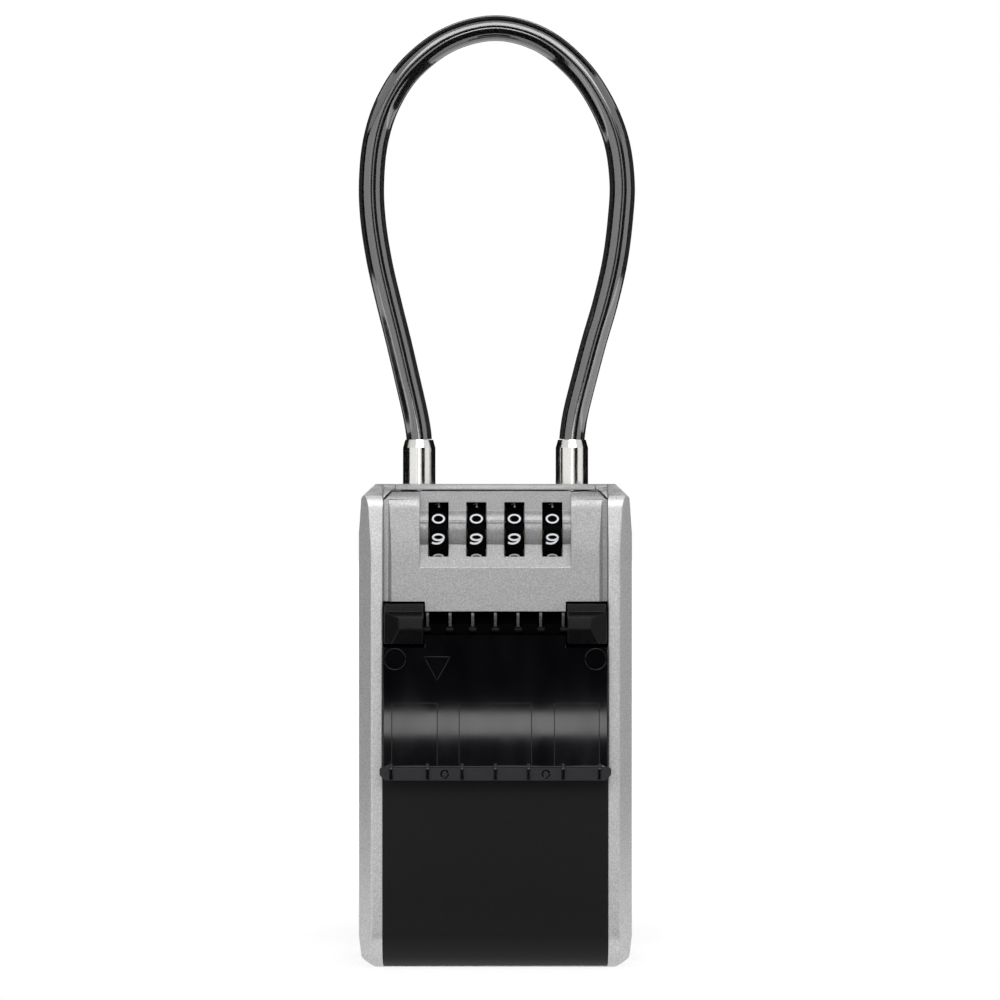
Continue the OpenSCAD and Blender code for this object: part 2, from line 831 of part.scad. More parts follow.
module dial_spindle() {
    color("#9a9a9c") rod_x(-cheek_out, cheek_out, dial_depth, dial_z, spindle_r);
}

// Wheel with a flat for each digit, ridges between them, and ten keyways round its bore
module dial_wheel(i) {
    half = dial_w / 2;
    color("#161616") translate([dial_x(i), y_at(dial_depth), dial_z]) difference() {
        rotate([0, 90, 0]) cylinder(h = dial_w, r = dial_r, center = true);
        rotate([0, 90, 0]) cylinder(h = dial_w + 2 * cut, r = sleeve_r + running_fit, center = true);
        for (k = [0:9]) rotate([180 - digit_tilt + digit_step * k, 0, 0]) {
            translate([-half - cut, dial_r - digit_flat_in, -digit_flat_w / 2])
                cube([dial_w + 2 * cut, 2, digit_flat_w]);
        }
        for (k = [0:9]) rotate([digit_step * k, 0, 0]) translate([-half - cut, 0, -key_w / 2 - 0.1])
            cube([dial_w + 2 * cut, key_r + 0.15, key_w + 0.2]);
    }
}

// Sleeve keyed into the wheel, with a cam whose flat lets the latch pass
module dial_sleeve(i) {
    color("#c2a25a") translate([dial_x(i), y_at(dial_depth), dial_z]) difference() {
        union() {
            rotate([0, 90, 0]) cylinder(h = sleeve_len, r = sleeve_r, center = true);
            translate([cam_from, 0, 0]) rotate([0, 90, 0]) cylinder(h = cam_w, r = cam_r);
            translate([-dial_w / 2 + 0.3, spindle_r + 0.4, -key_w / 2])
                cube([dial_w - 0.6, key_r - spindle_r - 0.4, key_w]);
        }
        rotate([0, 90, 0]) cylinder(h = 2 * sleeve_len, r = spindle_r + running_fit, center = true);
        translate([cam_from - 0.1, cam_flat_r, -cam_r]) cube([cam_w + 0.2, cam_r, 2 * cam_r]);
    }
}

module detent_spring() {
    strip_t = 0.5;
    tongue_z = dial_z - dial_r - dial_clear;
    back = 12;
    color("#bcbcbe") {
        solid_box(
            [-window_half + 2, frame_back, frame_low + 0.3], [window_half - 2, frame_back + strip_t, tongue_z]
        );
        for (i = [0:dial_count - 1]) solid_box(
            [dial_x(i) - 2, frame_back + 0.1, tongue_z - strip_t], [dial_x(i) + 2, back, tongue_z]
        );
    }
}

module latch_spring() {
    floor_z = case_low + case_wall;
    color("#b9b9bb") translate([latch_spring_x, y_at(latch_spring_depth), floor_z])
        spring_tube(2, latch_low - floor_z);
}

module release_springs() {
    floor_z = case_low + case_wall;
    color("#b9b9bb") both_sides()
        translate([release_spring_x, y_at(release_spring_depth), floor_z])
            spring_tube(1.9, tab_z - floor_z);
}

module reset_pivot() {
    color("#9a9a9c") {
        rod_y(reset_x, reset_z, case_depth - case_wall, reset_depth + reset_t + 0.2, reset_pin_r);
        rod_y(reset_x, reset_z, reset_depth + reset_t + 0.1, reset_depth + reset_t + 0.9, 2.4);
    }
}

module reset_lever() {
    half = 1.7;
    color("#c8772e") difference() {
        union() {
            rod_y(reset_x, reset_z, reset_depth, reset_depth + reset_t, 3.6);
            solid_box(
                [reset_x - half, reset_depth, reset_z - reset_reach],
                [reset_x + half, reset_depth + reset_t, reset_z]
            );
            solid_box(
                [reset_x - half, reset_depth, reset_z - reset_reach],
                [reset_x + half, reset_depth + reset_t + 1, reset_z - reset_reach + 2]
            );
        }
        rod_y(reset_x, reset_z, reset_depth - cut, reset_depth + 2 * reset_t, reset_pin_r + running_fit);
    }
}

// Plate behind the dials, drawn down in its free place, with a finger beside each cam
module latch_slide() {
    front = latch_depth;
    finger_z = dial_z - fence_drop;
    color("#a3a3a6") {
        solid_box([-latch_half, front, latch_low], [latch_half, latch_back, latch_shoulder]);
        solid_box(
            [-latch_tongue_half, front, latch_shoulder - 0.1], [latch_tongue_half, latch_back, latch_top]
        );
        solid_box([-5, front, latch_stem_low], [5, latch_back, latch_low + 0.1]);
        solid_box([-5, 12, latch_stem_low], [5, front + 0.1, latch_stem_low + latch_ear_t]);
        solid_box([latch_tab_x[0], 13, latch_low], [latch_tab_x[1], front + 0.1, latch_low + 1.2]);
        for (i = [0:dial_count - 1]) solid_box(
            [dial_x(i) + cam_from - 0.1, fence_depth, finger_z - fence_t],
            [dial_x(i) + cam_from - 0.1 + fence_w, front + 0.1, finger_z]
        );
    }
}

module lug() {
    difference() {
        side_prism(lug_in, lug_out) polygon([
            [bridge_depth, lug_low], [lug_foot_depth, lug_low], [lug_foot_depth, lug_foot],
            [-4.4, lug_foot], [lug_front, lug_low + 3.7],
            [lug_front, lug_low + 7], [-2.4, lug_low + 8.7], [-2.2, lug_top], [bridge_depth, lug_top]
        ]);
        plan_prism(lug_foot - cut, lug_top + cut) polygon([
            [lug_facet_x, lug_front - 0.1], [lug_out, -2], [lug_out + cut, -2], [lug_out + cut, lug_front - 0.1]
        ]);
    }
}

module release_slide() {
    color("#1b1b1c") difference() {
        union() {
            solid_box(
                [-bridge_half, bridge_depth, bridge_low], [bridge_half, bridge_depth + bridge_t, bridge_top]
            );
            both_sides() lug();
            for (x = rib_places) side_prism(x - rib_t / 2, x + rib_t / 2) polygon([
                [bridge_depth + 0.1, pocket_top - 0.3], [0.6, pocket_top - 0.3],
                [0.6, pocket_top - 1.3], [bridge_depth + 0.1, pocket_top - 7]
            ]);
            solid_box([-4, bridge_depth + 0.1, arm_z], [4, 17, arm_z + arm_t]);
            both_sides() solid_box(
                [release_spring_x - 2.2, bridge_depth + 0.1, tab_z],
                [release_spring_x + 2.2, release_spring_depth + 2.2, tab_z + 1.4]
            );
        }
        rod_x(
            -lug_in - 3.1, lug_in + 3.1, shutter_axis_depth, shutter_axis_z, shutter_pin_r + fixed_fit
        );
    }
}

module shutter_hinge_pin() {
    color("#8f8f90") rod_x(
        -lug_in - 3, lug_in + 3, shutter_axis_depth, shutter_axis_z, shutter_pin_r
    );
}

module shutter_plate() {
    notch_low = shutter_axis_z - 5.3;
    difference() {
        side_prism(-shutter_half, shutter_half) intersection() {
            translate([shutter_axis_depth + shutter_bulge - shutter_arch_r, shutter_axis_z - shutter_mid])
                difference() {
                    circle(shutter_arch_r, $fn = 180);
                    circle(shutter_arch_r - shutter_t, $fn = 180);
                }
            translate([lug_front - cut, lip_low + 1]) square([cut - lug_front, shutter_len - 1]);
        }
        both_sides() solid_box([notch_half, lug_front - cut, notch_low], [body_half, 0, body_h]);
    }
}

// Lip across the foot of the plate, with gusset ribs in front of its face and two ring marks
module shutter_lip() {
    ring_r = 1.35;
    ring_w = 0.55;
    ring_depth = 0.5;
    corner = 1.8;
    lip_face = lip_front + 0.55;
    difference() {
        union() {
            front_prism(lip_face, lip_back) polygon([
                [corner - lip_half, lip_low], [lip_half - corner, lip_low], [lip_half, lip_low + corner],
                [lip_half, lip_low + lip_h - 0.5], [lip_half - 0.5, lip_low + lip_h],
                [0.5 - lip_half, lip_low + lip_h], [-lip_half, lip_low + lip_h - 0.5],
                [-lip_half, lip_low + corner]
            ]);
            for (x = lip_rib_places) side_prism(x - 0.5, x + 0.5) polygon([
                [lip_back - 0.1, lip_low + 0.2], [lip_front, lip_low + 0.5],
                [lip_front, lip_low + lip_h - 0.4], [lip_face + 0.4, lip_low + lip_h + 1.2],
                [lip_back - 0.1, lip_low + lip_h + 1.2]
            ]);
        }
        for (side = [-1, 1]) difference() {
            rod_y(side * lip_hole_x, lip_low + lip_h / 2, lip_face - cut, lip_face + ring_depth, ring_r);
            rod_y(
                side * lip_hole_x, lip_low + lip_h / 2, lip_face - 2 * cut, lip_face + 2 * ring_depth,
                ring_r - ring_w
            );
        }
    }
}

module shutter() {
    color("#202022") difference() {
        union() {
            rod_x(-notch_half, notch_half, shutter_axis_depth, shutter_axis_z, shutter_barrel_r);
            shutter_plate();
            shutter_lip();
        }
        for (x = rib_places) solid_box(
            [x - rib_t / 2 - 0.6, lug_front, shutter_axis_z - 1.3],
            [x + rib_t / 2 + 0.6, 0, shutter_axis_z + 2 * shutter_barrel_r]
        );
        rod_x(-body_half, body_half, shutter_axis_depth, shutter_axis_z, shutter_pin_r + running_fit);
    }
}

rear_housing();
top_plate();
rear_pad();
door_seals();
door_hinge_pin();
shackle_block();
block_screws();
shackle_bolt_spring();
shackle_bolt();
shackle_release_tab();
cable();
ferrule(-ferrule_x);  // ferrule_left
ferrule(ferrule_x);  // ferrule_right
door_casting();
door_cover();
cover_screws();
lock_case();
lock_case_screws();
dial_spindle();
detent_spring();
latch_spring();
release_springs();
reset_pivot();
reset_lever();
dial_wheel(0);  // dial_wheel_1
dial_wheel(1);  // dial_wheel_2
dial_wheel(2);  // dial_wheel_3
dial_wheel(3);  // dial_wheel_4
dial_sleeve(0);  // dial_sleeve_1
dial_sleeve(1);  // dial_sleeve_2
dial_sleeve(2);  // dial_sleeve_3
dial_sleeve(3);  // dial_sleeve_4
latch_slide();
release_slide();
shutter();
shutter_hinge_pin();
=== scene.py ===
import math

import bmesh
import bpy
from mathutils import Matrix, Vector


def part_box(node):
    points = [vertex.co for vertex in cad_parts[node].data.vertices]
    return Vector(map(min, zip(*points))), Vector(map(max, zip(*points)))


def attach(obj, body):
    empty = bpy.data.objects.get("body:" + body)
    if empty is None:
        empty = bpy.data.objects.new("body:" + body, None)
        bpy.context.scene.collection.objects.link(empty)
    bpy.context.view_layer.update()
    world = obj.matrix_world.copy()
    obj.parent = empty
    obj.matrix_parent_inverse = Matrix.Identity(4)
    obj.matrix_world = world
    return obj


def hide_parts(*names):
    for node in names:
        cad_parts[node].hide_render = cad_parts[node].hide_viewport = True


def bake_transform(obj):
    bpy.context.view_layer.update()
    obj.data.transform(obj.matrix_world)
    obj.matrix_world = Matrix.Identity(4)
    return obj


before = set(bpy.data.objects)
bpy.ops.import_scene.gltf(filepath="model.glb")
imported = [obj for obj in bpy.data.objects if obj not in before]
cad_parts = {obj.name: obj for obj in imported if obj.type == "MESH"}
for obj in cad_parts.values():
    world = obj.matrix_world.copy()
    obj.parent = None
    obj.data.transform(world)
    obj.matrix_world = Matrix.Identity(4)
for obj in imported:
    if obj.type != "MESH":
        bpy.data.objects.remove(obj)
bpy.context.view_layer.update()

MM = 0.001
scene = bpy.context.scene

# Places on the part, in metres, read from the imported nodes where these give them
FERRULE_LOW, FERRULE_HIGH = (Vector(corner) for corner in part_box("ferrule_right"))
FERRULE_TOP = Vector((
    (FERRULE_LOW.x + FERRULE_HIGH.x) / 2, (FERRULE_LOW.y + FERRULE_HIGH.y) / 2, FERRULE_HIGH.z
))
CABLE_DIAMETER = 8 * MM
STRAND_RADIUS = 2.6 * MM
STRAND_LOBE_DEPTH = 0.4 * MM
STRAND_LOBES = 10.0
STRAND_LAY = 26 * MM
DIAL_AXES = [
    sum((Vector(corner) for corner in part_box(f"dial_wheel_{k + 1}")), Vector()) / 2 for k in range(4)
]
DIAL_RADIUS = (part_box("dial_wheel_1")[1][2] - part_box("dial_wheel_1")[0][2]) / 2
DIGIT_FLAT_IN = 0.45 * MM
# Direction of the flat of numeral 0 about the dial's axis, in degrees from the back over the top
ZERO_ANGLE = 148.5
DIGIT_STEP = 36
# The photo's view: level, from straight in front
CAMERA_PLACE = (0.0014, -0.918, 0.1428)
CAMERA_SENSOR_MM = 36
CAMERA_LENS_MM = 106.3


def front_camera():
    camera = bpy.data.objects.new("front_camera", bpy.data.cameras.new("front_camera"))
    camera.data.sensor_width = CAMERA_SENSOR_MM
    camera.data.lens = CAMERA_LENS_MM
    camera.location = CAMERA_PLACE
    camera.rotation_euler = (math.radians(90), 0, 0)
    scene.collection.objects.link(camera)
    scene.camera = camera


front_camera()


def linear(hex_colour):
    """sRGB hex colour as the linear RGBA that a shader takes."""
    shares = [int(hex_colour[i:i + 2], 16) / 255 for i in (1, 3, 5)]
    return [s / 12.92 if s <= 0.04045 else ((s + 0.055) / 1.055) ** 2.4 for s in shares] + [1.0]


def add(tree, kind, inputs=None, **settings):
    """Adds a node, with its settings, its input values and the links into it."""
    node = tree.nodes.new(kind)
    for name, value in settings.items():
        setattr(node, name, value)
    for name, value in (inputs or {}).items():
        if isinstance(value, bpy.types.NodeSocket):
            tree.links.new(value, node.inputs[name])
        else:
            node.inputs[name].default_value = value
    return node


def calc(tree, operation, *values):
    """Result of a math node on one to three numbers."""
    return add(tree, "ShaderNodeMath", dict(enumerate(values)), operation=operation).outputs[0]


def vector_calc(tree, operation, *values):
    """Result of a vector math node on one or two vectors."""
    return add(tree, "ShaderNodeVectorMath", dict(enumerate(values)), operation=operation).outputs[0]


def distance(tree, vector):
    return add(tree, "ShaderNodeVectorMath", {0: vector}, operation="LENGTH").outputs["Value"]


def place(piece, body, slot, *nodes):
    """A piece rides on its body and stands for CAD nodes; slot is not used."""
    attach(piece, body)
    if nodes:
        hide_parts(*nodes)
    return piece


def new_object(name, mesh):
    piece = bpy.data.objects.new(name, mesh)
    scene.collection.objects.link(piece)
    return piece


def flat_sheet(name, corners, material):
    mesh = bpy.data.meshes.new(name)
    mesh.from_pydata(corners, [], [(0, 1, 2, 3)])
    mesh.materials.append(material)
    return new_object(name, mesh)


def start_material(name):
    material = bpy.data.materials.new(name)
    material.use_nodes = True
    material.node_tree.nodes.clear()
    return material, material.node_tree


def finish_material(tree, inputs):
    shader = add(tree, "ShaderNodeBsdfPrincipled", inputs)
    add(tree, "ShaderNodeOutputMaterial", {"Surface": shader.outputs[0]})


def grain(tree, size_mm, detail=2.0, roughness=0.5, stretch=(1, 1, 1)):
    """Noise on Object coordinates whose blotches are about size_mm across."""
    where = add(tree, "ShaderNodeTexCoord").outputs["Object"]
    if stretch != (1, 1, 1):
        where = add(tree, "ShaderNodeMapping", {"Vector": where, "Scale": stretch}).outputs[0]
    return add(tree, "ShaderNodeTexNoise", {
        "Vector": where, "Scale": 1 / (size_mm * MM), "Detail": detail, "Roughness": roughness,
    }).outputs["Fac"]


def shades(tree, factor, *stops):
    """Colour ramp through (position, hex colour) stops."""
    ramp = add(tree, "ShaderNodeValToRGB", {"Fac": factor}).color_ramp
    while len(ramp.elements) < len(stops):
        ramp.elements.new(0.5)
    for element, (position, colour) in zip(ramp.elements, stops):
        element.position = position
        element.color = linear(colour)
    return ramp.id_data.nodes[-1].outputs["Color"]


def levels(tree, factor, low, high, from_low=0.3, from_high=0.7):
    return add(tree, "ShaderNodeMapRange", {
        "Value": factor, "From Min": from_low, "From Max": from_high, "To Min": low, "To Max": high,
    }).outputs["Result"]


def dents(tree, height, depth_mm, strength=1.0, normal=None):
    inputs = {"Height": height, "Distance": depth_mm * MM, "Strength": strength}
    if normal:
        inputs["Normal"] = normal
    return add(tree, "ShaderNodeBump", inputs).outputs["Normal"]


def metallic_paint(name, dark, middle, light):
    """Silver paint with aluminium flake on a zinc casting: fine bright and dark specks, satin."""
    material, tree = start_material(name)
    flakes = grain(tree, 0.45, 3.0, 0.75)
    clouds = grain(tree, 2.2, 2.0)
    colour = shades(tree, levels(tree, flakes, 0, 1), (0.0, dark), (0.5, middle), (1.0, light))
    finish_material(tree, {
        "Base Color": colour, "Metallic": 0.5, "Roughness": levels(tree, clouds, 0.36, 0.46),
        "Normal": dents(tree, flakes, 0.012, 0.8),
    })
    return material


def textured_abs():
    """Black ABS with a spark-eroded mould texture: an even, dull black."""
    material, tree = start_material("textured_black_abs")
    texture = grain(tree, 0.35, 3.0, 0.7)
    colour = shades(tree, texture, (0.3, "#0d0d0f"), (0.7, "#141416"))
    finish_material(tree, {
        "Base Color": colour, "Roughness": 0.55, "Specular IOR Level": 0.2,
        "Normal": dents(tree, texture, 0.02, 0.6),
    })
    return material


def satin_nylon():
    """Black glass-filled nylon of the release slide: facets with a soft satin sheen."""
    material, tree = start_material("satin_black_nylon")
    texture = grain(tree, 0.5, 3.0, 0.6)
    colour = shades(tree, texture, (0.3, "#08080a"), (0.7, "#0f0f11"))
    finish_material(tree, {
        "Base Color": colour, "Roughness": levels(tree, texture, 0.26, 0.36),
        "Specular IOR Level": 0.2, "Normal": dents(tree, texture, 0.012, 0.5),
    })
    return material


def painted_shade_black():
    """Matt black over the faces inside the recess: painted shade where the recess lies in deep shadow.
    """
    material, tree = start_material("recess_black_painted_shade")
    texture = grain(tree, 0.5, 3.0, 0.6)
    colour = shades(tree, texture, (0.3, "#020202"), (0.7, "#050506"))
    finish_material(tree, {
        "Base Color": colour, "Roughness": 0.9, "Specular IOR Level": 0.02,
        "Normal": dents(tree, texture, 0.02, 0.5),
    })
    return material


def rib_nose_painted_highlight():
    """Grey on the front faces of the recess ribs' noses: a painted highlight where they catch the light.
    """
    material, tree = start_material("nylon_with_painted_highlight")
    tone_noise = grain(tree, 0.6, 3.0, 0.6)
    colour = shades(tree, tone_noise, (0.3, "#5c5c60"), (0.7, "#8a8a8c"))
    finish_material(tree, {"Base Color": colour, "Roughness": levels(tree, tone_noise, 0.3, 0.42)})
    return material


def grained_polycarbonate():
    """The shutter's lip: the same smoked plastic with a fine mould grain, so a dull dark grey."""
    material, tree = start_material("grained_smoked_polycarbonate")
    texture = grain(tree, 0.4, 3.0, 0.6)
    colour = shades(tree, texture, (0.3, "#222225"), (0.7, "#2b2b2e"))
    finish_material(tree, {
        "Base Color": colour, "Roughness": 0.5, "Specular IOR Level": 0.3,
        "Normal": dents(tree, texture, 0.015, 0.5),
    })
    return material


def smoked_polycarbonate():
    """Deeply smoked polycarbonate shutter: near black, smooth, with faint flow marks."""
    material, tree = start_material("smoked_polycarbonate")
    flow = grain(tree, 6, 2.0, 0.5, (1, 1, 0.35))
    colour = shades(tree, flow, (0.3, "#060609"), (0.7, "#0b0b0f"))
    finish_material(tree, {
        "Base Color": colour, "Roughness": levels(tree, flow, 0.1, 0.14),
        "Specular IOR Level": 0.45, "Normal": dents(tree, flow, 0.03, 0.1),
    })
    return material


def gloss_abs():
    """Gloss black ABS of the dial wheels."""
    material, tree = start_material("gloss_black_abs")
    tone_noise = grain(tree, 0.8, 3.0, 0.6)
    colour = shades(tree, tone_noise, (0.3, "#020203"), (0.75, "#050506"))
    finish_material(tree, {
        "Base Color": colour, "Roughness": levels(tree, tone_noise, 0.25, 0.35), "Specular IOR Level": 0.01,
    })
    return material


def white_print():
    """White pad-printed ink of the numerals."""
    material, tree = start_material("white_pad_print")
    speck = grain(tree, 0.15, 2.0)
    colour = shades(tree, speck, (0.3, "#d9dadf"), (0.6, "#eeeff2"))
    finish_material(tree, {"Base Color": colour, "Roughness": 0.45})
    return material


def nickel_plate():
    """Polished nickel plate on the ferrules: mirror bright, with faint drawing lines."""
    material, tree = start_material("polished_nickel_plate")
    lines = grain(tree, 0.5, 2.0, 0.5, (1, 1, 0.06))
    finish_material(tree, {
        "Base Color": linear("#d3d1ce"), "Metallic": 1.0, "Roughness": levels(tree, lines, 0.1, 0.2),
        "Normal": dents(tree, lines, 0.004, 0.4),
    })
    return material


def plated_steel(name, light, dark, roughness):
    """Zinc-plated steel: grey, faintly streaked along its rolling direction."""
    material, tree = start_material(name)
    streaks = grain(tree, 0.6, 3.0, 0.6, (0.15, 1, 1))
    colour = shades(tree, streaks, (0.3, dark), (0.7, light))
    finish_material(tree, {
        "Base Color": colour, "Metallic": 1.0,
        "Roughness": levels(tree, streaks, roughness - 0.05, roughness + 0.08),
        "Normal": dents(tree, streaks, 0.004, 0.5),
    })
    return material


def bare_zinc():
    """Unpainted zinc die casting of the shackle block: dull grey with cast mottling."""
    material, tree = start_material("bare_zinc_casting")
    mottle = grain(tree, 1.2, 4.0, 0.7)
    colour = shades(tree, mottle, (0.3, "#7d7e80"), (0.7, "#9c9d9e"))
    finish_material(tree, {
        "Base Color": colour, "Metallic": 0.7, "Roughness": levels(tree, mottle, 0.5, 0.65),
        "Normal": dents(tree, mottle, 0.03, 0.6),
    })
    return material


def dark_brass_painted_shade():
    """Turned brass of the sleeves, with fine rings round the axis, darkened to a brown: painted shade
    for the slot gaps it shows through.
    """
    material, tree = start_material("dark_brass_painted_shade")
    rings = grain(tree, 0.2, 2.0, 0.5, (1, 0.05, 0.05))
    colour = shades(tree, rings, (0.3, "#463a24"), (0.7, "#5a4a2c"))
    finish_material(tree, {
        "Base Color": colour, "Metallic": 1.0, "Roughness": levels(tree, rings, 0.25, 0.38),
    })
    return material


def lock_nylon():
    """Dark grey glass-filled nylon of the lock case, with a matt moulded grain."""
    material, tree = start_material("grey_filled_nylon")
    fibre = grain(tree, 0.7, 3.0, 0.7)
    colour = shades(tree, fibre, (0.3, "#26282c"), (0.7, "#33363a"))
    finish_material(tree, {
        "Base Color": colour, "Roughness": 0.58, "Normal": dents(tree, fibre, 0.02, 0.5),
    })
    return material


def soft_rubber():
    """Black rubber of the rear pad and seals: matt, slightly dusty."""
    material, tree = start_material("black_rubber")
    dust = grain(tree, 1.5, 4.0, 0.7)
    colour = shades(tree, dust, (0.3, "#19191a"), (0.75, "#29292a"))
    finish_material(tree, {
        "Base Color": colour, "Roughness": 0.82, "Specular IOR Level": 0.25,
        "Normal": dents(tree, dust, 0.03, 0.6),
    })
    return material


def smoky_jacket():
    """Smoky clear vinyl jacket of the cable: the steel strand shows through it."""
    material, tree = start_material("smoky_vinyl_jacket")
    ripple = grain(tree, 5, 2.0)
    finish_material(tree, {
        "Base Color": linear("#030304"), "Roughness": levels(tree, ripple, 0.05, 0.09),
        "IOR": 1.8, "Specular IOR Level": 1.0, "Alpha": 0.87, "Normal": dents(tree, ripple, 0.05, 0.15),
    })
    return material


def strand_wire():
    """Steel wires of the rope, darkened by the jacket over them."""
    material, tree = start_material("steel_rope_wire")
    wires = grain(tree, 0.5, 3.0, 0.6)
    colour = shades(tree, wires, (0.3, "#8a8a8e"), (0.7, "#d6d6da"))
    finish_material(tree, {
        "Base Color": colour, "Metallic": 0.8, "Roughness": 0.34,
        "Normal": dents(tree, wires, 0.05, 0.6),
    })
    return material


paint = metallic_paint("flake_silver_paint_on_zinc", "#949496", "#afafb0", "#cacac8")
# The frame's copy of the silver paint is lighter than the door's: painted light, for the light its flat
# bands catch more than the door panel.
frame_paint_lit = metallic_paint("flake_paint_on_zinc_painted_lighter", "#b4b4b6", "#d0d0d1", "#e8e8e6")
cover_abs = textured_abs()
slide_nylon = satin_nylon()
recess_painted_shade = painted_shade_black()
nose_highlight_nylon = rib_nose_painted_highlight()
lip_pc = grained_polycarbonate()
shutter_pc = smoked_polycarbonate()
dial_abs = gloss_abs()
ink = white_print()
nickel = nickel_plate()
steel = plated_steel("zinc_plated_steel", "#b9babd", "#9b9ca0", 0.32)
# The shutter's hinge pin is near-black: painted shade for the dark recess it lies in.
dark_pin_steel = plated_steel("pin_steel_painted_shade", "#232325", "#151516", 0.4)
spring_steel = plated_steel("spring_steel", "#c6c7ca", "#a9aaae", 0.24)
lever_steel = plated_steel("yellow_passivated_steel", "#b8a468", "#a08c52", 0.36)
zinc = bare_zinc()
brass = dark_brass_painted_shade()
case_nylon = lock_nylon()
rubber = soft_rubber()
jacket = smoky_jacket()
wire = strand_wire()


def start_tree(name, *inputs):
    """New Geometry Nodes tree with a geometry input and the named inputs."""
    tree = bpy.data.node_groups.new(name, "GeometryNodeTree")
    tree.interface.new_socket("Geometry", in_out="INPUT", socket_type="NodeSocketGeometry")
    tree.interface.new_socket("Geometry", in_out="OUTPUT", socket_type="NodeSocketGeometry")
    for label, kind in inputs:
        tree.interface.new_socket(label, in_out="INPUT", socket_type="NodeSocket" + kind)
    return tree, add(tree, "NodeGroupInput").outputs


def end_tree(tree, geometry, material):
    """Ends a tree in Realize Instances and Set Material."""
    solid = add(tree, "GeometryNodeRealizeInstances", {"Geometry": geometry}).outputs[0]
    done = add(tree, "GeometryNodeSetMaterial", {"Geometry": solid, "Material": material}).outputs[0]
    add(tree, "NodeGroupOutput", {"Geometry": done})


def grow(name, tree, values, points=(), edges=()):
    """Runs a tree on a line of points and keeps its result as a plain mesh."""
    line = bpy.data.meshes.new(name + "_line")
    line.from_pydata([tuple(p) for p in points], list(edges), [])
    seed = new_object(name + "_seed", line)
    modifier = seed.modifiers.new("grow", "NODES")
    modifier.node_group = tree
    for item in tree.interface.items_tree:
        if item.in_out == "INPUT" and item.name in values:
            modifier[item.identifier] = values[item.name]
    graph = bpy.context.evaluated_depsgraph_get()
    mesh = bpy.data.meshes.new_from_object(seed.evaluated_get(graph))
    bpy.data.objects.remove(seed)
    mesh.name = name
    return new_object(name, mesh)


def chain(count, closed=False):
    edges = [(i, i + 1) for i in range(count - 1)]
    return edges + [(count - 1, 0)] if closed else edges


# Centre line of the loop in mm: x, and the height over the ferrules' tops
CABLE_ROUTE = [
    (-24, 0), (-24.3, 3), (-25.4, 9), (-27.7, 19), (-30.5, 31), (-33.5, 43), (-36.5, 56), (-38.5, 69),
    (-39, 81), (-37.7, 94), (-33.8, 106), (-26.5, 117), (-14.5, 126), (0, 129.5),
    (14, 126), (25.5, 117), (33.2, 106), (38, 94), (39.8, 81), (39.2, 69), (37.5, 56), (34.5, 43),
    (31, 31), (27.8, 19), (25.3, 9), (24.3, 3), (24, 0),
]


def cable_points(steps):
    """The route as a Catmull-Rom curve, with so many steps to each stretch."""
    widen = FERRULE_TOP.x / CABLE_ROUTE[-1][0]
    route = [Vector((x * widen, FERRULE_TOP.y, FERRULE_TOP.z + h * MM)) for x, h in CABLE_ROUTE]
    ends = [2 * route[0] - route[1]] + route + [2 * route[-1] - route[-2]]
    points = []
    for a, b, c, d in zip(ends, ends[1:], ends[2:], ends[3:]):
        for k in range(steps):
            t = k / steps
            points.append(
                0.5 * (2 * b + (c - a) * t + (2 * a - 5 * b + 4 * c - d) * t * t
                       + (3 * b - a - 3 * c + d) * t ** 3)
            )
    return points + [route[-1]]


